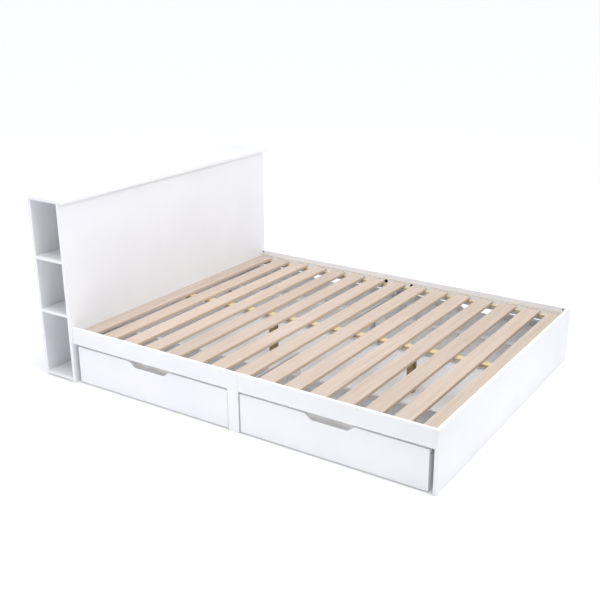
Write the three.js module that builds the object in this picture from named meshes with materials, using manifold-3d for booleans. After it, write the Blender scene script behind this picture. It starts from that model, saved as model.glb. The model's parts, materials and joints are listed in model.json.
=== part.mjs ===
// Platform bed for a 160 x 200 cm mattress, with a storage headboard and four drawers.
// Millimetres, +Z up. +X runs from the headboard to the foot, and "left" is the -Y side,
// as seen by someone at the foot who looks at the headboard.
// The origin is on the floor, under the middle of the whole bed.
import * as THREE from 'three';
import { mergeVertices } from 'three/addons/utils/BufferGeometryUtils.js';
import Module from 'manifold-3d';

const wasm = await Module();
wasm.setup();

// ---- sizes of the frame ----
const BOARD = 16;               // melamine-faced chipboard, used for every white board
const BED_WIDTH = 1640;         // over the outer faces of the two side rails
const INNER_LENGTH = 2028;      // headboard face to the inner face of the foot panel
const RAIL_TOP = 300;           // top edge of the rails and the foot panel above the floor
const RAIL_HEIGHT = 88;
const POST_WIDTH = 60;          // the leg at the end of each head rail
const RAIL_SEAM = 1;            // head rail to foot rail, beside the post
const HEADBOARD_DEPTH = 212;
const HEADBOARD_HEIGHT = 955;
const HEADBOARD_OVERHANG = 13;  // how far the headboard stands out past each rail
const TOP_OVERHANG = 20;        // how far the headboard top reaches over the bed
const SHELF_HEIGHTS = { upper: 651, lower: 368 };   // top faces of the shelves
const COMPARTMENT_DEPTH = 280;  // from the side of the headboard in to its divider
const BASE_LIFT = 7;            // floor to the lowest board of the headboard

// ---- the slatted base ----
const SLAT_COUNT = 15;
const SLAT_WIDTH = 88;
const SLAT_THICKNESS = 18;
const SLAT_EDGE_RADIUS = 3;
const SLAT_DROP = 32;           // slat tops below the top of the rails
const LEDGE_DROP = 28;          // top of the inner board below the top of the rails
const LEDGE_HEIGHT = 58;
const SLAT_END_CLEARANCE = 5;   // slat end to inner board
const SLAT_END_GAP = 1;         // first and last slat to headboard and foot panel
const BATTEN_WIDTH = 18;
const BATTEN_HEIGHT = 16;
const BEAM_WIDTH = 44;
const BEAM_HEIGHT = 18;
const LEG_SIZE = 36;
const LEG_POSITIONS = { head: 660, foot: 1508 };    // leg centres from the headboard face
const PARTITION_TOP_GAP = 16;   // top of the partition below the underside of the rails
const PARTITION_DEPTH = 540;    // from the outer face of the rail inwards

// ---- drawers ----
const DRAWER_RECESS = 6;        // front face behind the face of the rail
const DRAWER_LIFT = 7;          // floor to the underside of the drawer
const DRAWER_TOP_GAP = 12;      // drawer front to the rail above it
const DRAWER_POST_GAP = 6;      // drawer front to the post
const DRAWER_END_GAP = 24;      // drawer front to headboard or foot panel
const BOX_TOP_GAP = 4;          // walls of the drawer box below the notch in its front
const BOX_DEPTH = 354;          // drawer front to the back of the box
const BOTTOM_THICKNESS = 6;
const BOTTOM_RAISE = 41;        // underside of the walls to underside of the bottom
const NOTCH_TOP_WIDTH = 250;
const NOTCH_BOTTOM_WIDTH = 184;
const NOTCH_DEPTH = 26;

// ---- finishes ----
const WHITE = new THREE.MeshStandardMaterial({ color: 0xf4f4f5, roughness: 0.55, metalness: 0 });
const SLAT_WOOD = new THREE.MeshStandardMaterial({ color: 0xd9c5b2, roughness: 0.7, metalness: 0 });
const PINE = new THREE.MeshStandardMaterial({ color: 0xe2cf9f, roughness: 0.7, metalness: 0 });
const LEG_WOOD = new THREE.MeshStandardMaterial({ color: 0xa18a63, roughness: 0.75, metalness: 0 });

// ---- derived places ----
const totalLength = HEADBOARD_DEPTH + INNER_LENGTH + BOARD;
const headFace = HEADBOARD_DEPTH - totalLength / 2;     // headboard face on the bed side
const footFace = headFace + INNER_LENGTH;               // inner face of the foot panel
const bedMiddle = headFace + INNER_LENGTH / 2;
const outerY = BED_WIDTH / 2;
const railInnerY = outerY - BOARD;
const ledgeInnerY = railInnerY - BOARD;
const railBottom = RAIL_TOP - RAIL_HEIGHT;
const slatTop = RAIL_TOP - SLAT_DROP;
const slatBottom = slatTop - SLAT_THICKNESS;
const headboardHalf = outerY + HEADBOARD_OVERHANG;

const bed = new THREE.Group();
bed.name = 'platform_bed';

function addMesh(parent, name, geometry, material) {
  const mesh = new THREE.Mesh(geometry, material);
  mesh.name = name;
  parent.add(mesh);
  return mesh;
}

// A flat board from its low corner to its high corner.
function board(parent, name, low, high, material = WHITE) {
  const size = high.map((value, i) => value - low[i]);
  const geometry = new THREE.BoxGeometry(...size);
  geometry.translate(...low.map((value, i) => value + size[i] / 2));
  return addMesh(parent, name, geometry, material);
}

// Two distances from the middle of the bed as low and high Y. side is -1 for left, 1 for right.
function span(side, inner, outer) {
  return side < 0 ? [-outer, -inner] : [inner, outer];
}

// The same board on either side of the bed, with its ys as distances from the middle.
function sideBoard(parent, name, side, xs, ys, zs, material) {
  const [lowY, highY] = span(side, ...ys);
  return board(parent, name, [xs[0], lowY, zs[0]], [xs[1], highY, zs[1]], material);
}

// A flat shape drawn in X and Z, given a thickness from lowY to highY.
function plateXZ(points, lowY, highY) {
  const shape = new THREE.Shape(points.map(([x, z]) => new THREE.Vector2(x, z)));
  const geometry = new THREE.ExtrudeGeometry(shape, { depth: highY - lowY, bevelEnabled: false });
  geometry.rotateX(Math.PI / 2);
  geometry.translate(0, highY, 0);
  return geometry;
}

function toSolid(geometry) {
  const bare = new THREE.BufferGeometry();
  bare.setAttribute('position', geometry.getAttribute('position'));
  bare.setIndex(geometry.index);
  const merged = mergeVertices(bare, 1e-4);
  return new wasm.Manifold(new wasm.Mesh({
    numProp: 3,
    vertProperties: new Float32Array(merged.getAttribute('position').array),
    triVerts: new Uint32Array(merged.index.array),
  }));
}

// Two overlapping shapes joined into one solid, as glued boards are.
function joined(a, b) {
  const mesh = toSolid(a).add(toSolid(b)).getMesh();
  const geometry = new THREE.BufferGeometry();
  geometry.setAttribute('position', new THREE.BufferAttribute(mesh.vertProperties, 3));
  geometry.setIndex(new THREE.BufferAttribute(mesh.triVerts, 1));
  const flat = geometry.toNonIndexed();
  flat.computeVertexNormals();
  return flat;
}

// A timber with eased long edges that runs across the bed.
function slatGeometry(x, length) {
  const [w, h, r] = [SLAT_WIDTH / 2, SLAT_THICKNESS / 2, SLAT_EDGE_RADIUS];
  const points = [];
  for (const [cx, cz, start] of [[w - r, h - r, 0], [r - w, h - r, 1], [r - w, r - h, 2], [w - r, r - h, 3]]) {
    for (let i = 0; i <= 4; i++) {
      const angle = (start + i / 4) * Math.PI / 2;
      points.push([x + cx + r * Math.cos(angle), slatBottom + h + cz + r * Math.sin(angle)]);
    }
  }
  return plateXZ(points, -length / 2, length / 2);
}

// ---- headboard: two upright panels with open compartments at both ends ----
const headboard = new THREE.Group();
headboard.name = 'headboard';
bed.add(headboard);
const backFace = headFace - HEADBOARD_DEPTH;
const panelTop = HEADBOARD_HEIGHT - BOARD;
const shelfXs = [backFace + BOARD, headFace - BOARD];
board(headboard, 'headboard_front_panel', [headFace - BOARD, -headboardHalf, 0], [headFace, headboardHalf, panelTop]);
board(headboard, 'headboard_back_panel', [backFace, -headboardHalf, 0], [backFace + BOARD, headboardHalf, panelTop]);
board(headboard, 'headboard_top', [backFace, -headboardHalf, panelTop],
  [headFace + TOP_OVERHANG, headboardHalf, HEADBOARD_HEIGHT]);
board(headboard, 'headboard_base', [shelfXs[0], -headboardHalf, BASE_LIFT],
  [shelfXs[1], headboardHalf, BASE_LIFT + BOARD]);
const dividerOuter = headboardHalf - COMPARTMENT_DEPTH;
for (const [sideName, side] of [['left', -1], ['right', 1]]) {
  sideBoard(headboard, `${sideName}_divider`, side, shelfXs, [dividerOuter - BOARD, dividerOuter],
    [BASE_LIFT + BOARD, panelTop]);
  for (const [level, top] of Object.entries(SHELF_HEIGHTS)) {
    sideBoard(headboard, `${sideName}_${level}_shelf`, side, shelfXs, [dividerOuter, headboardHalf],
      [top - BOARD, top]);
  }
}

// ---- rails, foot panel and what carries the slats ----
const frame = new THREE.Group();
frame.name = 'bed_frame';
bed.add(frame);
board(frame, 'foot_panel', [footFace, -outerY, 0], [footFace + BOARD, outerY, RAIL_TOP]);
const postXs = [bedMiddle - POST_WIDTH / 2, bedMiddle + POST_WIDTH / 2];
for (const [sideName, side] of [['left', -1], ['right', 1]]) {
  // The head rail and its post are cut from one board.
  const headRail = plateXZ([[headFace, railBottom], [postXs[0], railBottom], [postXs[0], 0], [postXs[1], 0],
    [postXs[1], RAIL_TOP], [headFace, RAIL_TOP]], ...span(side, railInnerY, outerY));
  addMesh(frame, `${sideName}_head_rail`, headRail, WHITE);
  sideBoard(frame, `${sideName}_foot_rail`, side, [postXs[1] + RAIL_SEAM, footFace], [railInnerY, outerY],
    [railBottom, RAIL_TOP]);
  const ledgeTop = RAIL_TOP - LEDGE_DROP;
  sideBoard(frame, `${sideName}_ledge`, side, [headFace, footFace], [ledgeInnerY, railInnerY],
    [ledgeTop - LEDGE_HEIGHT, ledgeTop]);
  sideBoard(frame, `${sideName}_batten`, side, [headFace, footFace], [ledgeInnerY - BATTEN_WIDTH, ledgeInnerY],
    [slatBottom - BATTEN_HEIGHT, slatBottom], PINE);
  sideBoard(frame, `${sideName}_partition`, side, [bedMiddle - BOARD / 2, bedMiddle + BOARD / 2],
    [outerY - PARTITION_DEPTH, railInnerY], [0, railBottom - PARTITION_TOP_GAP]);
}
board(frame, 'centre_beam', [headFace, -BEAM_WIDTH / 2, slatBottom - BEAM_HEIGHT],
  [footFace, BEAM_WIDTH / 2, slatBottom], PINE);
for (const [end, distance] of Object.entries(LEG_POSITIONS)) {
  const x = headFace + distance;
  board(frame, `centre_leg_${end}`, [x - LEG_SIZE / 2, -LEG_SIZE / 2, 0],
    [x + LEG_SIZE / 2, LEG_SIZE / 2, slatBottom - BEAM_HEIGHT], LEG_WOOD);
}

// ---- slats ----
const slats = new THREE.Group();
slats.name = 'slats';
bed.add(slats);
const slatLength = 2 * (ledgeInnerY - SLAT_END_CLEARANCE);
const firstSlat = headFace + SLAT_END_GAP + SLAT_WIDTH / 2;
const slatPitch = (INNER_LENGTH - 2 * SLAT_END_GAP - SLAT_WIDTH) / (SLAT_COUNT - 1);
for (let i = 0; i < SLAT_COUNT; i++) {
  const name = `slat_${String(i + 1).padStart(2, '0')}`;
  addMesh(slats, name, slatGeometry(firstSlat + i * slatPitch, slatLength), SLAT_WOOD);
}

// ---- drawers: a notched front with its glued inner board, two walls, a back and a bottom ----
const frontTop = railBottom - DRAWER_TOP_GAP;
const notchBottom = frontTop - NOTCH_DEPTH;
const boxTop = notchBottom - BOX_TOP_GAP;
const drawerFace = outerY - DRAWER_RECESS;
const boxFront = drawerFace - BOARD;
const boxBack = boxFront - BOX_DEPTH;
const bottomZ = DRAWER_LIFT + BOTTOM_RAISE;

function drawer(name, side, x0, x1) {
  const group = new THREE.Group();
  group.name = name;
  bed.add(group);
  const middle = (x0 + x1) / 2;
  const [wide, narrow] = [NOTCH_TOP_WIDTH / 2, NOTCH_BOTTOM_WIDTH / 2];
  const wallZs = [DRAWER_LIFT, boxTop];
  const insideXs = [x0 + BOARD, x1 - BOARD];
  const face = plateXZ([[x0, DRAWER_LIFT], [x1, DRAWER_LIFT], [x1, frontTop],
    [middle + wide, frontTop], [middle + narrow, notchBottom], [middle - narrow, notchBottom],
    [middle - wide, frontTop], [x0, frontTop]], ...span(side, boxFront, drawerFace));
  // The inner board reaches halfway into the face, so that the two join.
  const inner = plateXZ([[insideXs[0], wallZs[0]], [insideXs[1], wallZs[0]], [insideXs[1], wallZs[1]],
    [insideXs[0], wallZs[1]]], ...span(side, boxFront - BOARD, boxFront + BOARD / 2));
  addMesh(group, `${name}_front`, joined(face, inner), WHITE);
  sideBoard(group, `${name}_back`, side, insideXs, [boxBack, boxBack + BOARD], wallZs);
  sideBoard(group, `${name}_head_wall`, side, [x0, x0 + BOARD], [boxBack, boxFront], wallZs);
  sideBoard(group, `${name}_foot_wall`, side, [x1 - BOARD, x1], [boxBack, boxFront], wallZs);
  sideBoard(group, `${name}_bottom`, side, insideXs, [boxBack + BOARD, boxFront - BOARD],
    [bottomZ, bottomZ + BOTTOM_THICKNESS]);
}

for (const [sideName, side] of [['left', -1], ['right', 1]]) {
  drawer(`${sideName}_head_drawer`, side, headFace + DRAWER_END_GAP, postXs[0] - DRAWER_POST_GAP);
  drawer(`${sideName}_foot_drawer`, side, postXs[1] + DRAWER_POST_GAP, footFace - DRAWER_END_GAP);
}

export default bed;
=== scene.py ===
"""Finishes, small fittings and studio for a platform bed with a storage headboard and drawers.

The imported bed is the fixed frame. This file gives every board and timber its finish, makes the
castors and connector bolts that are too small for the frame, and sets the bed in a plain studio.
Metres, +Z up, +X from the headboard to the foot.
"""

import json
import math

import bpy
import numpy as np
from mathutils import Matrix, Vector


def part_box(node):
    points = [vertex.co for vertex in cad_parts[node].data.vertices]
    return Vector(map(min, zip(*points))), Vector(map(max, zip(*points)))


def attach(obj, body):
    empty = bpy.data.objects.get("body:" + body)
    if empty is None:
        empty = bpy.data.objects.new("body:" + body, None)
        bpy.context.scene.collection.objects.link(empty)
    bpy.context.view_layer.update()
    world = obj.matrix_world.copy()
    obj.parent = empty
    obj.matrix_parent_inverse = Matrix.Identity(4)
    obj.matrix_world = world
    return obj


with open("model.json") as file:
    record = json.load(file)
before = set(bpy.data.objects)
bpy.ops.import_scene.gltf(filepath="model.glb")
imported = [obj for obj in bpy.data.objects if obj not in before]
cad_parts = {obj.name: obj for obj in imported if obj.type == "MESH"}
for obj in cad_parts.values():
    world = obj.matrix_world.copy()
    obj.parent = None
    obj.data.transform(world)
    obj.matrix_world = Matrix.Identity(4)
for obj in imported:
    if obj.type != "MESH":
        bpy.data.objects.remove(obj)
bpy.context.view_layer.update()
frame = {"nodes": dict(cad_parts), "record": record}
NODES = frame["nodes"]

bl_info = {
    "name": "Platform Bed Finisher",
    "version": (1, 0, 0),
    "blender": (4, 5, 0),
    "location": "3D View > Sidebar > Bed",
    "description": "Gives a packed platform bed its finishes, castors, bolts and studio",
    "category": "Object",
}


def linear(colour):
    """sRGB hex such as #F4F4F6 to linear red, green and blue."""
    parts = np.array([int(colour[i:i + 2], 16) for i in (1, 3, 5)]) / 255
    return tuple(np.where(parts <= 0.04045, parts / 12.92, ((parts + 0.055) / 1.055) ** 2.4).tolist())


# ---- what the frame says ----
SLOT_OF = {part["node"]: part["material_slot"] for part in frame["record"]["subparts"]}
BODIES = frame["record"]["behaviour"]["bodies"]
DRAWERS = [body for body in BODIES if body.endswith("_drawer")]
SIDES = {"left": -1.0, "right": 1.0}
LEDGE_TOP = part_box("left_ledge")[1].z
SLATS = sorted(n for n in NODES if n.startswith("slat_"))
SLAT_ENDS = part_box(SLATS[0])[1].y
FIRST_SLAT = (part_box(SLATS[0])[0].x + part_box(SLATS[0])[1].x) / 2
SLAT_PITCH = (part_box(SLATS[-1])[0].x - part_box(SLATS[0])[0].x) / (len(SLATS) - 1)

# ---- widths of the patterns, in metres ----
PEARL_WIDTH = 0.0025         # grain of the pressed melamine face
BOARD_CLOUD_WIDTH = 0.35     # duller patches of the same face
CHIP_WIDTH = 0.003           # one chip in a sawn edge
FIBRE_WIDTH = 0.004          # fine fibres between the late wood lines
STREAK_WIDTH = 0.018         # broad streaks across a plank
GRAIN_STRETCH = 0.05         # scale of a pattern along the grain, as a share of its scale across
NYLON_MOTTLE_WIDTH = 0.002
PLATING_CLOUD_WIDTH = 0.006
SAWN_LEDGE_DEPTH = 0.0003    # the bare face starts this far below the top of a ledge
SAWN_END_DEPTH = 0.0004      # and this far inside the end of a slat

# ---- small fittings that no setting changes, in metres ----
SHARP_ANGLE = math.radians(35)    # edges above this stay sharp
BEVEL_ANGLE = math.radians(40)    # edges above this are rounded
TIMBER_EDGE_ROUND = 0.0015
AXLE_BORE = 0.0025           # radius of the hole in a wheel
BRACKET_SHEET = 0.0015       # thickness of a bracket
BRACKET_WIDTH = 0.02
BRACKET_BEND = 0.003         # radius of its two folds
BRACKET_DROP = 0.006         # its ends reach this far below the axle
WHEEL_SLACK = 0.0012         # flank of a wheel to its bracket
PIN_RADIUS = 0.0024
PIN_HEAD_RADIUS = 0.0035
PIN_HEAD_HEIGHT = 0.0014
PIN_REACH = 0.0015           # pin past the outside of the bracket
PIN_STEPS = 20               # sides of a pin
BOLT_STEPS = 32              # sides of a bolt head
END_BOLT_FROM_HEADBOARD = 0.012
END_BOLT_FROM_FOOT = 0.02
END_BOLT_DROP = 0.01         # below the top of the rail

# ---- the studio ----
FLOOR_RADIUS = 140           # metres, past the horizon of every view
FLOOR_DROP = 0.0005          # below the boards that stand on it
FLOOR_SIDES = 64
SENSOR_WIDTH = 36            # millimetres
CLIP_START, CLIP_END = 0.05, 300
# the setting that holds its strength, how wide it looks in degrees, where it comes from
SUNS = (("top_light", 40, (0.03, -0.03, 1)),
        ("side_light", 30, (0.1, -1, 0.47)),
        ("foot_light", 60, (1, 0.1, 0.45)))
# the setting that holds its power, its size, its place and the point it is turned to, in metres
SOFTBOXES = (("headboard_box", (2.4, 1.2), (1.2, 0.0, 2.6), (-0.95, 0.0, 0.5)),
             ("rail_box", (2.6, 0.9), (0.2, -0.75, 2.3), (0.1, 0.8, 0.25)),
             ("shelf_box", (1.0, 1.0), (-1.1, -2.7, 0.8), (-1.02, -0.7, 0.5)))

# ---- inputs and output of a Mix node, by what it mixes ----
FACTOR = 0
FLOAT_A, FLOAT_B = 2, 3
COLOUR_A, COLOUR_B = 6, 7
FLOAT_OUT, COLOUR_OUT = 0, 2


# ---- what a user would change ----
def colour_property(name, description, default):
    return bpy.props.FloatVectorProperty(
        name=name, description=description, subtype="COLOR", size=3, min=0, max=1, default=linear(default))


def length_property(name, description, default):
    return bpy.props.FloatProperty(
        name=name, description=description, default=default, min=0, unit="LENGTH", subtype="DISTANCE",
        precision=4)


class BedColours(bpy.types.PropertyGroup):
    """Colours of the finishes, under a neutral light, and a painted highlight for the narrow sides of the
    slats.
    """
    board: colour_property("White board", "Melamine face of every white board", "#F3F3F4")
    board_shade: colour_property("White board, duller", "Slightly duller patches of the same face", "#EFEFF1")
    chipboard: colour_property("Raw chipboard", "Sawn edge of the ledges that carry no edging", "#BCAF99")
    chip: colour_property("Dark chips", "Darker chips in a sawn edge", "#A6977F")
    slat: colour_property("Slat timber", "Early wood of the planed slats", "#CABBAD")
    slat_grain: colour_property("Slat grain", "Late wood lines of the slats", "#B6A38E")
    # Painted highlight: a colour lighter than the slat timber that stands in for light on the narrow slat
    # sides, which sit in shade.
    slat_side_painted_light: colour_property("Slat sides", "Narrow sides of the slats", "#DCC6AE")
    slat_end: colour_property("Slat end grain", "Sawn ends of the slats", "#A98B6D")
    pine: colour_property("Pine", "Early wood of the beam and battens", "#D6C8A6")
    pine_grain: colour_property("Pine grain", "Late wood lines of the beam and battens", "#BBA47E")
    leg: colour_property("Leg timber", "Early wood of the two legs", "#B39C74")
    leg_grain: colour_property("Leg grain", "Late wood lines of the two legs", "#8D7249")
    bolt: colour_property("Bolts", "Blackened steel of the connector bolts", "#2C2119")
    castor: colour_property("Castor wheels", "Nylon of the castor wheels", "#2B2C2E")
    bracket: colour_property("Castor brackets", "Zinc plate of the castor brackets", "#B9BCBF")


class BedSizes(bpy.types.PropertyGroup):
    """Sizes of what is added to the frame."""
    edge_round: length_property("Edge rounding", "Radius on the edging of the white boards", 0.0012)
    wheel_radius: length_property("Castor wheel radius", "Outer radius of a castor wheel", 0.018)
    wheel_width: length_property("Castor wheel width", "Width of a castor wheel", 0.014)
    castor_inset: length_property("Castor inset", "Wheel centre to the end of the drawer", 0.085)
    castor_setback: length_property("Castor setback", "Wheel centre to the edge of the drawer bottom", 0.05)
    bolt_radius: length_property("Bolt head radius", "Head of a connector bolt beside the posts", 0.010)
    bolt_from_post: length_property("Bolt to post", "Bolt centre to the nearer face of the post", 0.054)
    bolt_below_ledge: length_property(
        "Bolt below ledge top", "Bolt centre below the top of the ledge", 0.0095)
    end_bolt_radius: length_property("End bolt radius", "Head of a bolt at each end of the rails", 0.0045)


class StudioSettings(bpy.types.PropertyGroup):
    """Camera and light."""
    lens: bpy.props.FloatProperty(
        name="Lens", description="Focal length on a 36 mm sensor", default=54.02, min=10, unit="CAMERA")
    azimuth: bpy.props.FloatProperty(
        name="Azimuth", description="Direction of the camera round the bed, from the left side",
        default=math.radians(31.27), subtype="ANGLE")
    elevation: bpy.props.FloatProperty(
        name="Elevation", description="Tilt of the camera below the horizon",
        default=math.radians(19.88), subtype="ANGLE")
    roll: bpy.props.FloatProperty(
        name="Roll", description="Lean of the camera", default=math.radians(0.46), subtype="ANGLE")
    eye: bpy.props.FloatVectorProperty(
        name="Eye", description="Place of the camera", default=(2.4325, -3.7293, 1.988), size=3,
        subtype="XYZ", unit="LENGTH")
    shift: bpy.props.FloatProperty(
        name="Shift", description="Sideways lens shift that frames the bed", default=-0.0667)
    sky: bpy.props.FloatProperty(
        name="Sky", description="Strength of the even light all round", default=0.43, min=0)
    sky_colour: colour_property("Sky colour", "Tint of the even light", "#F8FAFF")
    top_light: bpy.props.FloatProperty(
        name="Top light", description="Strength of the light straight above", default=1.64, min=0)
    side_light: bpy.props.FloatProperty(
        name="Side light", description="Strength of the broad light that faces the left side",
        default=0.24, min=0)
    foot_light: bpy.props.FloatProperty(
        name="Foot light", description="Strength of the broad light that faces the foot panel",
        default=0.5, min=0)
    headboard_box: bpy.props.FloatProperty(
        name="Headboard softbox",
        description="Power of the softbox over the foot of the bed, turned to the headboard",
        default=19, min=0, unit="POWER")
    rail_box: bpy.props.FloatProperty(
        name="Rail softbox", description="Power of the softbox over the left rail, turned to the right rail",
        default=15, min=0, unit="POWER")
    shelf_box: bpy.props.FloatProperty(
        name="Shelf softbox", description="Power of the softbox beside the open left end of the headboard",
        default=5.5, min=0, unit="POWER")
    box_colour: colour_property("Softbox colour", "Tint of the three softboxes", "#EDF2FF")
    floor_colour: colour_property("Floor", "Colour of the plain floor", "#F4F4F4")
    floor_glow: bpy.props.FloatProperty(
        name="Floor glow", description="Light that comes up through the pale floor", default=0.08, min=0)


# ---- materials ----
def add_node(tree, kind, settings=None, links=None):
    """Adds one shader node. settings sets its properties, colour stops and input values by name or
    number, and links joins its inputs to the outputs of other nodes."""
    made = tree.nodes.new("ShaderNode" + kind)
    for key, value in (settings or {}).items():
        if key == "stops":
            ends, inner = made.color_ramp.elements, value[1:-1]
            for end, (place, colour) in zip((ends[0], ends[-1]), (value[0], value[-1])):
                end.position, end.color = place, (*colour, 1)
            for place, colour in inner:
                ends.new(place).color = (*colour, 1)
        elif isinstance(key, str) and hasattr(made, key):
            setattr(made, key, value)
        else:
            made.inputs[key].default_value = value
    for key, output in (links or {}).items():
        tree.links.new(output, made.inputs[key])
    return made


def new_material(name):
    """An empty material of that name, with its shader and the place on the object to read patterns at."""
    old = bpy.data.materials.get(name)
    if old:
        bpy.data.materials.remove(old)
    made = bpy.data.materials.new(name)
    made.use_nodes = True
    tree = made.node_tree
    tree.nodes.clear()
    shader = add_node(tree, "BsdfPrincipled")
    add_node(tree, "OutputMaterial", links={"Surface": shader.outputs[0]})
    place = add_node(tree, "TexCoord").outputs["Object"]
    return made, tree, shader, place


def melamine(name, colours, raw_above=None):
    """Melamine-faced chipboard, pressed against a pearl-textured plate and edged with ABS.
    Gives the eye a cool white with a broad soft sheen and a fine pearl that breaks up reflections.
    The real pearl is about 1 mm; it is drawn 2.5 mm wide so that it shows.
    Above raw_above the board was sawn and left bare, so its chips show there."""
    made, tree, shader, place = new_material(name)
    pearl = add_node(tree, "TexNoise", {"Scale": 1 / PEARL_WIDTH, "Detail": 2, "Roughness": 0.6},
                     {"Vector": place})
    cloud = add_node(tree, "TexNoise", {"Scale": 1 / BOARD_CLOUD_WIDTH, "Detail": 3, "Roughness": 0.5},
                     {"Vector": place})
    face = add_node(tree, "ValToRGB", {"stops": [(0.35, colours.board_shade), (0.65, colours.board)]},
                    {"Fac": cloud.outputs["Fac"]})
    gloss = add_node(tree, "MapRange", {"From Min": 0.3, "From Max": 0.7, "To Min": 0.4, "To Max": 0.52},
                     {"Value": pearl.outputs["Fac"]})
    bump = add_node(tree, "Bump", {"Strength": 0.12, "Distance": 0.0002}, {"Height": pearl.outputs["Fac"]})
    shader.inputs["IOR"].default_value = 1.5
    colour, rough = face.outputs["Color"], gloss.outputs["Result"]
    if raw_above is not None:
        height = add_node(tree, "SeparateXYZ", links={"Vector": place}).outputs["Z"]
        bare = add_node(tree, "Math", {"operation": "GREATER_THAN", 1: raw_above}, {0: height}).outputs[0]
        # Chips of wood 2 to 4 mm long lie pressed and glued in the sawn edge.
        chips = add_node(tree, "TexVoronoi", {"Scale": 1 / CHIP_WIDTH, "Randomness": 1.0},
                         {"Vector": place})
        tone = add_node(tree, "SeparateColor", links={"Color": chips.outputs["Color"]}).outputs[0]
        stops = [(0.0, colours.chip), (0.35, colours.chipboard), (1.0, colours.chipboard)]
        wood = add_node(tree, "ValToRGB", {"stops": stops}, {"Fac": tone})
        colour = add_node(tree, "Mix", {"data_type": "RGBA"},
                          {FACTOR: bare, COLOUR_A: colour,
                           COLOUR_B: wood.outputs["Color"]}).outputs[COLOUR_OUT]
        rough = add_node(tree, "Mix", {"data_type": "FLOAT", FLOAT_B: 0.85},
                         {FACTOR: bare, FLOAT_A: rough}).outputs[FLOAT_OUT]
    tree.links.new(colour, shader.inputs["Base Color"])
    tree.links.new(rough, shader.inputs["Roughness"])
    tree.links.new(bump.outputs["Normal"], shader.inputs["Normal"])
    return made


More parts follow.
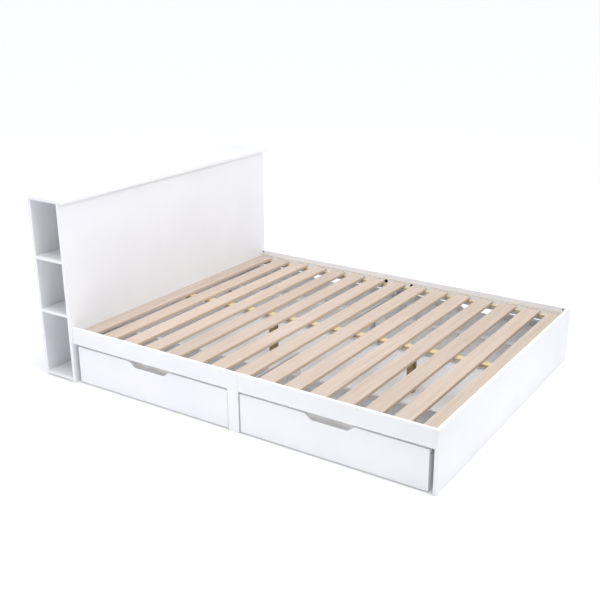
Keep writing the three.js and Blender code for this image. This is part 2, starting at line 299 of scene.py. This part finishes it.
def planed_timber(name, along, early, late, line_gap, pieces=None, side=None, end=None):
    """Planed, unvarnished timber with its grain along one axis (0, 1 or 2).
    Gives the eye long parallel lines of late wood that wander a little, fine fibres between them,
    and a dry, matt face. line_gap is the spacing of the late wood in metres.
    pieces is (first centre, spacing) along X for timbers that differ in tone one by one. side is the colour
    that the narrow faces, which look along X, are drawn towards. It is a painted highlight, lighter than the
    timber, that stands in for the light these shaded faces miss. end is (distance from the middle, colour)
    for sawn ends that face along the grain."""
    made, tree, shader, place = new_material(name)
    squeeze = [1.0, 1.0, 1.0]
    squeeze[along] = GRAIN_STRETCH
    drawn = add_node(tree, "Mapping", {"Scale": squeeze}, {"Vector": place}).outputs[0]
    across = "Y" if along == 0 else "X"
    # A wave band repeats every 2 pi / 20 of its own unit.
    lines = add_node(tree, "TexWave", {
        "wave_type": "BANDS", "bands_direction": across, "Scale": math.tau / (20 * line_gap),
        "Distortion": 5.0, "Detail": 3.0, "Detail Scale": 0.6, "Detail Roughness": 0.6}, {"Vector": drawn})
    fibre = add_node(tree, "TexNoise", {"Scale": 1 / FIBRE_WIDTH, "Detail": 5, "Roughness": 0.65},
                     {"Vector": drawn})
    streak = add_node(tree, "TexNoise", {"Scale": 1 / STREAK_WIDTH, "Detail": 2, "Roughness": 0.5},
                      {"Vector": drawn})
    grain = add_node(tree, "Mix", {"data_type": "FLOAT", FACTOR: 0.55},
                     {FLOAT_A: lines.outputs["Fac"], FLOAT_B: fibre.outputs["Fac"]}).outputs[FLOAT_OUT]
    mixed = add_node(tree, "Mix", {"data_type": "FLOAT", FACTOR: 0.45},
                     {FLOAT_A: grain, FLOAT_B: streak.outputs["Fac"]}).outputs[FLOAT_OUT]
    tone = add_node(tree, "ValToRGB", {"stops": [(0.3, late), (0.6, early), (1.0, early)]}, {"Fac": mixed})
    colour = tone.outputs["Color"]
    apart = add_node(tree, "SeparateXYZ", links={"Vector": place})
    if pieces:
        number = add_node(tree, "Math", {"operation": "SUBTRACT", 1: pieces[0]}, {0: apart.outputs["X"]})
        number = add_node(tree, "Math", {"operation": "DIVIDE", 1: pieces[1]}, {0: number.outputs[0]})
        number = add_node(tree, "Math", {"operation": "ROUND"}, {0: number.outputs[0]})
        chance = add_node(tree, "TexWhiteNoise", {"noise_dimensions": "1D"}, {"W": number.outputs[0]})
        shade = add_node(tree, "MapRange", {"To Min": 0.95, "To Max": 1.04},
                         {"Value": chance.outputs["Value"]})
        colour = add_node(tree, "HueSaturation",
                          links={"Value": shade.outputs["Result"], "Color": colour}).outputs[0]
    # Painted light: narrow faces that look along X are drawn 70 % of the way to a lighter side colour. It
    # stands in for light on those shaded faces.
    if side:
        facing = add_node(tree, "SeparateXYZ", links={"Vector": add_node(tree, "TexCoord").outputs["Normal"]})
        facing = add_node(tree, "Math", {"operation": "ABSOLUTE"}, {0: facing.outputs["X"]})
        narrow = add_node(tree, "Math", {"operation": "GREATER_THAN", 1: 0.6}, {0: facing.outputs[0]})
        painted_side_light = add_node(tree, "Mix", {"data_type": "RGBA", FACTOR: 0.7, COLOUR_B: (*side, 1)},
                                 {COLOUR_A: colour}).outputs[COLOUR_OUT]
        colour = add_node(tree, "Mix", {"data_type": "RGBA"},
                          {FACTOR: narrow.outputs[0], COLOUR_A: colour,
                           COLOUR_B: painted_side_light}).outputs[COLOUR_OUT]
    if end:
        reach = add_node(tree, "Math", {"operation": "ABSOLUTE"}, {0: apart.outputs["XYZ"[along]]})
        sawn = add_node(tree, "Math", {"operation": "GREATER_THAN", 1: end[0] - SAWN_END_DEPTH},
                        {0: reach.outputs[0]})
        colour = add_node(tree, "Mix", {"data_type": "RGBA", COLOUR_B: (*end[1], 1)},
                          {FACTOR: sawn.outputs[0], COLOUR_A: colour}).outputs[COLOUR_OUT]
    gloss = add_node(tree, "MapRange", {"From Min": 0.3, "From Max": 0.7, "To Min": 0.55, "To Max": 0.72},
                     {"Value": fibre.outputs["Fac"]})
    bump = add_node(tree, "Bump", {"Strength": 0.25, "Distance": 0.0003}, {"Height": grain})
    shader.inputs["IOR"].default_value = 1.45
    shader.inputs["Specular IOR Level"].default_value = 0.3
    tree.links.new(colour, shader.inputs["Base Color"])
    tree.links.new(gloss.outputs["Result"], shader.inputs["Roughness"])
    tree.links.new(bump.outputs["Normal"], shader.inputs["Normal"])
    return made


def moulded_nylon(name, colour):
    """Injection-moulded nylon. Gives the eye a dark, even body with a dull, slightly mottled gloss."""
    made, tree, shader, place = new_material(name)
    mottle = add_node(tree, "TexNoise", {"Scale": 1 / NYLON_MOTTLE_WIDTH, "Detail": 3}, {"Vector": place})
    worn = tuple(min(1.0, c * 1.6 + 0.01) for c in colour)
    tone = add_node(tree, "ValToRGB", {"stops": [(0.4, colour), (0.8, worn)]}, {"Fac": mottle.outputs["Fac"]})
    gloss = add_node(tree, "MapRange", {"To Min": 0.35, "To Max": 0.6}, {"Value": mottle.outputs["Fac"]})
    bump = add_node(tree, "Bump", {"Strength": 0.1, "Distance": 0.0001}, {"Height": mottle.outputs["Fac"]})
    shader.inputs["IOR"].default_value = 1.53
    tree.links.new(tone.outputs["Color"], shader.inputs["Base Color"])
    tree.links.new(gloss.outputs["Result"], shader.inputs["Roughness"])
    tree.links.new(bump.outputs["Normal"], shader.inputs["Normal"])
    return made


def plated_steel(name, colour, rough):
    """Pressed and plated steel. Gives the eye a metal gloss clouded by the plating bath, with fine
    marks from the press."""
    made, tree, shader, place = new_material(name)
    cloud = add_node(tree, "TexNoise", {"Scale": 1 / PLATING_CLOUD_WIDTH, "Detail": 4, "Roughness": 0.7},
                     {"Vector": place})
    dull = tuple(c * 0.75 for c in colour)
    tone = add_node(tree, "ValToRGB", {"stops": [(0.3, dull), (0.7, colour)]}, {"Fac": cloud.outputs["Fac"]})
    gloss = add_node(tree, "MapRange", {"To Min": rough[0], "To Max": rough[1]},
                     {"Value": cloud.outputs["Fac"]})
    bump = add_node(tree, "Bump", {"Strength": 0.08, "Distance": 0.0001}, {"Height": cloud.outputs["Fac"]})
    shader.inputs["Metallic"].default_value = 1.0
    tree.links.new(tone.outputs["Color"], shader.inputs["Base Color"])
    tree.links.new(gloss.outputs["Result"], shader.inputs["Roughness"])
    tree.links.new(bump.outputs["Normal"], shader.inputs["Normal"])
    return made


def finish_node(name, material, edge_round=0.0):
    """Puts a material on a CAD node, and rounds its edges where edge_round is above zero."""
    node = NODES[name]
    node.data.materials.clear()
    node.data.materials.append(material)
    if edge_round > 0 and not node.modifiers:
        weld = node.modifiers.new("join corners", "WELD")
        weld.merge_threshold = 0.00001
        bevel = node.modifiers.new("edging", "BEVEL")
        bevel.width, bevel.segments, bevel.limit_method = edge_round, 2, "ANGLE"
        bevel.angle_limit = BEVEL_ANGLE


# ---- shapes ----
def piece(name, points, faces, material, body):
    """A finished piece from its points and faces, in place, riding on a body."""
    old = bpy.data.objects.get(name)
    if old:
        bpy.data.objects.remove(old)
    mesh = bpy.data.meshes.new(name)
    mesh.from_pydata(points.tolist(), [], faces)
    mesh.materials.append(material)
    mesh.update()
    mesh.shade_smooth()
    mesh.set_sharp_from_angle(angle=SHARP_ANGLE)
    made = bpy.data.objects.new(name, mesh)
    bpy.context.scene.collection.objects.link(made)
    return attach(made, body)


def turned(profile, axis, centre, steps=40):
    """A shape turned on a lathe: every profile point (radius r, height h) goes round the axis as
    centre + r (cos t a + sin t b) + h axis, with a and b square to the axis. A closed profile makes
    a ring; a profile that starts and ends on the axis makes a solid closed at its poles."""
    profile = np.asarray(profile, float)
    axis = np.asarray(axis, float)
    a = np.roll(axis, 1)
    b = np.cross(axis, a)
    t = np.linspace(0, math.tau, steps, endpoint=False)
    round_trip = np.cos(t)[:, None] * a + np.sin(t)[:, None] * b
    rings = profile[:, None, :1] * round_trip[None] + profile[:, None, 1:] * axis + np.asarray(centre, float)
    open_ended = profile[0, 0] < 1e-9 and profile[-1, 0] < 1e-9
    if not open_ended:
        count = len(profile)
        i, j = np.meshgrid(np.arange(count), np.arange(steps), indexing="ij")
        quads = np.stack([i * steps + j, i * steps + (j + 1) % steps,
                          (i + 1) % count * steps + (j + 1) % steps, (i + 1) % count * steps + j], -1)
        return rings.reshape(-1, 3), quads.reshape(-1, 4).tolist()
    body = rings[1:-1]
    count = len(body)
    points = np.vstack([body.reshape(-1, 3), rings[0, :1], rings[-1, :1]])
    i, j = np.meshgrid(np.arange(count - 1), np.arange(steps), indexing="ij")
    quads = np.stack([i * steps + j, i * steps + (j + 1) % steps,
                      (i + 1) * steps + (j + 1) % steps, (i + 1) * steps + j], -1).reshape(-1, 4).tolist()
    j = np.arange(steps)
    first = np.stack([np.full(steps, count * steps), (j + 1) % steps, j], -1).tolist()
    base = (count - 1) * steps
    last = np.stack([np.full(steps, count * steps + 1), base + j, base + (j + 1) % steps], -1).tolist()
    return points, first + quads + last


def folded_strip(line, width, thickness, centre):
    """Sheet metal folded along a line drawn in X and Z and carried along Y: the line is set off by
    half the thickness on both sides, and that outline runs from -width/2 to width/2."""
    line = np.asarray(line, float)
    along = np.gradient(line, axis=0)
    along /= np.linalg.norm(along, axis=1, keepdims=True)
    off = np.stack([-along[:, 1], along[:, 0]], 1) * thickness / 2
    outline = np.vstack([line + off, (line - off)[::-1]])
    n = len(outline)
    near = np.insert(outline, 1, -width / 2, axis=1)
    far = np.insert(outline, 1, width / 2, axis=1)
    points = np.vstack([near, far]) + np.asarray(centre, float)
    j = np.arange(n)
    sides = np.stack([j, j + n, (j + 1) % n + n, (j + 1) % n], -1).tolist()
    m = n // 2
    k = np.arange(m - 1)
    near_caps = np.stack([k, k + 1, n - 2 - k, n - 1 - k], -1).tolist()
    far_caps = np.stack([k + n, 2 * n - 1 - k, 2 * n - 2 - k, k + 1 + n], -1).tolist()
    return points, sides + near_caps + far_caps


def outward(points, faces):
    """Turns every face over if the shape's signed volume, the sum of its corner triangles' boxes
    over six, is negative."""
    volume = 0.0
    for size in {len(f) for f in faces}:
        corners = points[np.array([f for f in faces if len(f) == size])]
        for k in range(1, size - 1):
            volume += np.einsum("ij,ij->", corners[:, 0], np.cross(corners[:, k], corners[:, k + 1]))
    return (points, faces) if volume > 0 else (points, [f[::-1] for f in faces])


def wheel_profile(radius, width, bore):
    """Closed ring: flat flanks, a tread with rounded shoulders and a hub that stands a little proud."""
    shoulder = np.linspace(0, math.pi / 2, 7)
    r = width * 0.22
    right = np.stack([radius - r + r * np.cos(shoulder), width / 2 - r + r * np.sin(shoulder)], 1)
    left = np.stack([right[::-1, 0], -right[::-1, 1]], 1)
    hub, dish = bore + 0.0035, width / 2 - 0.0015
    flank = np.array([[radius - r - 0.002, width / 2], [radius - r - 0.0028, dish], [hub + 0.0008, dish],
                      [hub, width / 2], [bore, width / 2]])
    other = flank[::-1] * [1, -1]
    return np.vstack([right, flank, other, left])


def bolt_profile(radius):
    """A flanged bolt head that rises from the board: flat rim, rounded shoulder, round socket."""
    height, socket, depth = radius * 0.42, radius * 0.42, radius * 0.3
    turn = np.linspace(0, math.pi / 2, 6)
    r = height * 0.75
    shoulder = np.stack([radius - r + r * np.cos(turn), height - r + r * np.sin(turn)], 1)
    return np.vstack([[[0, -0.0004], [radius, -0.0004]], shoulder,
                      [[socket + 0.0003, height], [socket, height - 0.0003], [socket * 0.96, height - depth],
                       [0, height - depth]]])


# ---- one operator for each kind of piece ----
class BED_OT_finish_boards(bpy.types.Operator):
    """Give every white board its melamine face and rounded edging, and bare the sawn ledge tops."""
    bl_idname = "bed.finish_boards"
    bl_label = "Finish white boards"

    def execute(self, context):
        colours, sizes = context.scene.bed_colours, context.scene.bed_sizes
        face = melamine("melamine_pearl_white", colours)
        ledge = melamine("melamine_with_sawn_edge", colours, raw_above=LEDGE_TOP - SAWN_LEDGE_DEPTH)
        for name, slot in SLOT_OF.items():
            if slot == "white_board":
                raw = name.endswith("_ledge")
                finish_node(name, ledge if raw else face, 0.0 if raw else sizes.edge_round)
        return {"FINISHED"}


class BED_OT_finish_slats(bpy.types.Operator):
    """Give the slats their planed timber, with grain along their length."""
    bl_idname = "bed.finish_slats"
    bl_label = "Finish slats"

    def execute(self, context):
        colours = context.scene.bed_colours
        # The side colour is a painted highlight on the narrow faces of the slats.
        timber = planed_timber("poplar_planed", 1, colours.slat, colours.slat_grain, 0.011,
                               pieces=(FIRST_SLAT, SLAT_PITCH), side=colours.slat_side_painted_light,
                               end=(SLAT_ENDS, colours.slat_end))
        for name in SLATS:
            finish_node(name, timber)
        return {"FINISHED"}


class BED_OT_finish_timbers(bpy.types.Operator):
    """Give the beam, the battens and the legs their softwood."""
    bl_idname = "bed.finish_timbers"
    bl_label = "Finish beam, battens and legs"

    def execute(self, context):
        colours = context.scene.bed_colours
        finishes = {
            "pine": planed_timber("pine_planed", 0, colours.pine, colours.pine_grain, 0.006),
            "leg_wood": planed_timber("pine_leg_planed", 2, colours.leg, colours.leg_grain, 0.008),
        }
        for name, slot in SLOT_OF.items():
            if slot in finishes:
                finish_node(name, finishes[slot], TIMBER_EDGE_ROUND)
        return {"FINISHED"}


class BED_OT_fit_castors(bpy.types.Operator):
    """Fit four castors under the bottom of every drawer, rolling the way that the drawer slides."""
    bl_idname = "bed.fit_castors"
    bl_label = "Fit castors"

    def execute(self, context):
        colours, sizes = context.scene.bed_colours, context.scene.bed_sizes
        nylon = moulded_nylon("nylon_moulded_black", tuple(colours.castor))
        zinc = plated_steel("steel_zinc_plated", tuple(colours.bracket), (0.3, 0.5))
        radius, width, sheet = sizes.wheel_radius, sizes.wheel_width, BRACKET_SHEET
        for drawer in DRAWERS:
            low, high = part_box(f"{drawer}_bottom")
            xs = (low.x + sizes.castor_inset, high.x - sizes.castor_inset)
            ys = (low.y + sizes.castor_setback, high.y - sizes.castor_setback)
            for number, (x, y) in enumerate(((x, y) for x in xs for y in ys), 1):
                name = f"{drawer}_castor_{number}"
                centre = (x, y, radius)
                profile = wheel_profile(radius, width, AXLE_BORE)
                piece(f"{name}_wheel", *outward(*turned(profile, (1, 0, 0), centre)), nylon, drawer)
                half, top = width / 2 + WHEEL_SLACK + sheet / 2, low.z - sheet / 2
                bend = np.linspace(0, math.pi / 2, 6)
                r = BRACKET_BEND
                right = np.stack([half - r + r * np.cos(bend), top - r + r * np.sin(bend)], 1)
                left = np.stack([-right[::-1, 0], right[::-1, 1]], 1)
                foot = radius - BRACKET_DROP
                line = np.vstack([[[half, foot]], right, left, [[-half, foot]]])
                bracket = folded_strip(line, BRACKET_WIDTH, sheet, (x, y, 0))
                piece(f"{name}_bracket", *outward(*bracket), zinc, drawer)
                reach = half + sheet / 2 + PIN_REACH
                head, shank, neck = PIN_HEAD_RADIUS, PIN_RADIUS, reach - PIN_HEAD_HEIGHT
                pin = [[0, -reach], [head, -reach], [head, -neck], [shank, -neck],
                       [shank, neck], [head, neck], [head, reach], [0, reach]]
                piece(f"{name}_pin", *outward(*turned(pin, (1, 0, 0), centre, PIN_STEPS)), zinc, drawer)
        return {"FINISHED"}


class BED_OT_fit_bolts(bpy.types.Operator):
    """Fit the connector bolts beside each post and at the ends of each rail."""
    bl_idname = "bed.fit_bolts"
    bl_label = "Fit bolts"

    def execute(self, context):
        colours, sizes = context.scene.bed_colours, context.scene.bed_sizes
        steel = plated_steel("steel_blackened", tuple(colours.bolt), (0.35, 0.55))
        for side, way in SIDES.items():
            head_rail, foot_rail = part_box(f"{side}_head_rail"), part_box(f"{side}_foot_rail")
            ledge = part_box(f"{side}_ledge")
            ledge_face = ledge[0].y if way > 0 else ledge[1].y
            rail_face = ledge[1].y if way > 0 else ledge[0].y
            middle = (ledge[0].x + ledge[1].x) / 2
            post = abs(foot_rail[0].x - middle)
            near = [("post_head", middle - post - sizes.bolt_from_post),
                    ("post_foot", middle + post + sizes.bolt_from_post)]
            ends = [("head", head_rail[0].x + END_BOLT_FROM_HEADBOARD),
                    ("foot", foot_rail[1].x - END_BOLT_FROM_FOOT)]
            near_z, end_z = ledge[1].z - sizes.bolt_below_ledge, head_rail[1].z - END_BOLT_DROP
            places = [(label, x, ledge_face, near_z, sizes.bolt_radius) for label, x in near]
            places += [(label, x, rail_face, end_z, sizes.end_bolt_radius) for label, x in ends]
            for label, x, y, z, radius in places:
                shape = outward(*turned(bolt_profile(radius), (0, -way, 0), (x, y, z), BOLT_STEPS))
                piece(f"{side}_bolt_{label}", *shape, steel, "frame")
        return {"FINISHED"}


class BED_OT_set_up_studio(bpy.types.Operator):
    """Set up the floor, the soft light and the camera."""
    bl_idname = "bed.set_up_studio"
    bl_label = "Set up studio"

    def execute(self, context):
        scene, studio = context.scene, context.scene.bed_studio
        scene.view_settings.view_transform = "Standard"
        scene.view_settings.look = "None"
        self.floor(scene, studio)
        self.light(scene, studio)
        self.camera(scene, studio)
        return {"FINISHED"}

    def floor(self, scene, studio):
        """A flat disc: FLOOR_SIDES points evenly round a circle, joined by one face."""
        made, tree, shader, place = new_material("floor_matt_white")
        wear = add_node(tree, "TexNoise", {"Scale": 1.5, "Detail": 2}, {"Vector": place})
        gloss = add_node(tree, "MapRange", {"To Min": 0.75, "To Max": 0.85}, {"Value": wear.outputs["Fac"]})
        tree.links.new(gloss.outputs["Result"], shader.inputs["Roughness"])
        shader.inputs["Base Color"].default_value = (*studio.floor_colour, 1)
        shader.inputs["Specular IOR Level"].default_value = 0.1
        shader.inputs["Emission Color"].default_value = (1, 1, 1, 1)
        shader.inputs["Emission Strength"].default_value = studio.floor_glow
        t = np.linspace(0, math.tau, FLOOR_SIDES, endpoint=False)
        points = np.stack([FLOOR_RADIUS * np.cos(t), FLOOR_RADIUS * np.sin(t),
                           np.full_like(t, -FLOOR_DROP)], 1)
        mesh = bpy.data.meshes.new("studio_floor")
        mesh.from_pydata(points.tolist(), [], [list(range(FLOOR_SIDES))])
        mesh.materials.append(made)
        floor = bpy.data.objects.new("studio_floor", mesh)
        scene.collection.objects.link(floor)

    def light(self, scene, studio):
        world = bpy.data.worlds.new("studio")
        world.use_nodes = True
        world.node_tree.nodes.clear()
        sky = add_node(world.node_tree, "Background",
                       {"Color": (*studio.sky_colour, 1), "Strength": studio.sky})
        add_node(world.node_tree, "OutputWorld", links={"Surface": sky.outputs[0]})
        scene.world = world
        for name, spread, source in SUNS:
            lamp = bpy.data.lights.new(name, "SUN")
            lamp.energy, lamp.angle = getattr(studio, name), math.radians(spread)
            made = bpy.data.objects.new(name, lamp)
            made.rotation_euler = Vector(source).to_track_quat("Z", "Y").to_euler()
            scene.collection.objects.link(made)
        for name, size, place, target in SOFTBOXES:
            lamp = bpy.data.lights.new(name, "AREA")
            lamp.energy, lamp.shape = getattr(studio, name), "RECTANGLE"
            lamp.size, lamp.size_y = size
            lamp.color = studio.box_colour
            made = bpy.data.objects.new(name, lamp)
            made.location = place
            made.rotation_euler = (Vector(target) - Vector(place)).to_track_quat("-Z", "Y").to_euler()
            made.visible_camera = False
            scene.collection.objects.link(made)

    def camera(self, scene, studio):
        a, e, roll = studio.azimuth, studio.elevation, studio.roll
        back = Vector((math.sin(a) * math.cos(e), -math.cos(a) * math.cos(e), math.sin(e)))
        right = Vector((0, 0, 1)).cross(back).normalized()
        up = back.cross(right)
        right, up = (math.cos(roll) * right + math.sin(roll) * up,
                     -math.sin(roll) * right + math.cos(roll) * up)
        data = bpy.data.cameras.new("camera")
        data.sensor_width, data.lens, data.shift_x = SENSOR_WIDTH, studio.lens, studio.shift
        data.clip_start, data.clip_end = CLIP_START, CLIP_END
        camera = bpy.data.objects.new("camera", data)
        turn = Matrix((right, up, back)).transposed()
        camera.matrix_world = Matrix.Translation(Vector(studio.eye)) @ turn.to_4x4()
        scene.collection.objects.link(camera)
        scene.camera = camera


class BED_PT_panel(bpy.types.Panel):
    """Lists what can be made and what can be changed."""
    bl_idname = "BED_PT_panel"
    bl_label = "Platform bed"
    bl_space_type = "VIEW_3D"
    bl_region_type = "UI"
    bl_category = "Bed"

    def draw(self, context):
        for group in ("bed_colours", "bed_sizes", "bed_studio"):
            settings = getattr(context.scene, group)
            box = self.layout.box()
            for key in settings.__annotations__:
                box.prop(settings, key)
        for operator in OPERATORS:
            self.layout.operator(operator.bl_idname)


OPERATORS = (BED_OT_finish_boards, BED_OT_finish_slats, BED_OT_finish_timbers, BED_OT_fit_castors,
             BED_OT_fit_bolts, BED_OT_set_up_studio)
GROUPS = {"bed_colours": BedColours, "bed_sizes": BedSizes, "bed_studio": StudioSettings}


def register():
    for kind in (*GROUPS.values(), *OPERATORS, BED_PT_panel):
        bpy.utils.register_class(kind)
    for name, kind in GROUPS.items():
        setattr(bpy.types.Scene, name, bpy.props.PointerProperty(type=kind))


def unregister():
    for name in GROUPS:
        delattr(bpy.types.Scene, name)
    for kind in (BED_PT_panel, *reversed(OPERATORS), *reversed(tuple(GROUPS.values()))):
        bpy.utils.unregister_class(kind)


def main():
    register()
    bpy.ops.bed.finish_boards()
    bpy.ops.bed.finish_slats()
    bpy.ops.bed.finish_timbers()
    bpy.ops.bed.fit_castors()
    bpy.ops.bed.fit_bolts()
    bpy.ops.bed.set_up_studio()


if __name__ == "__main__":
    main()
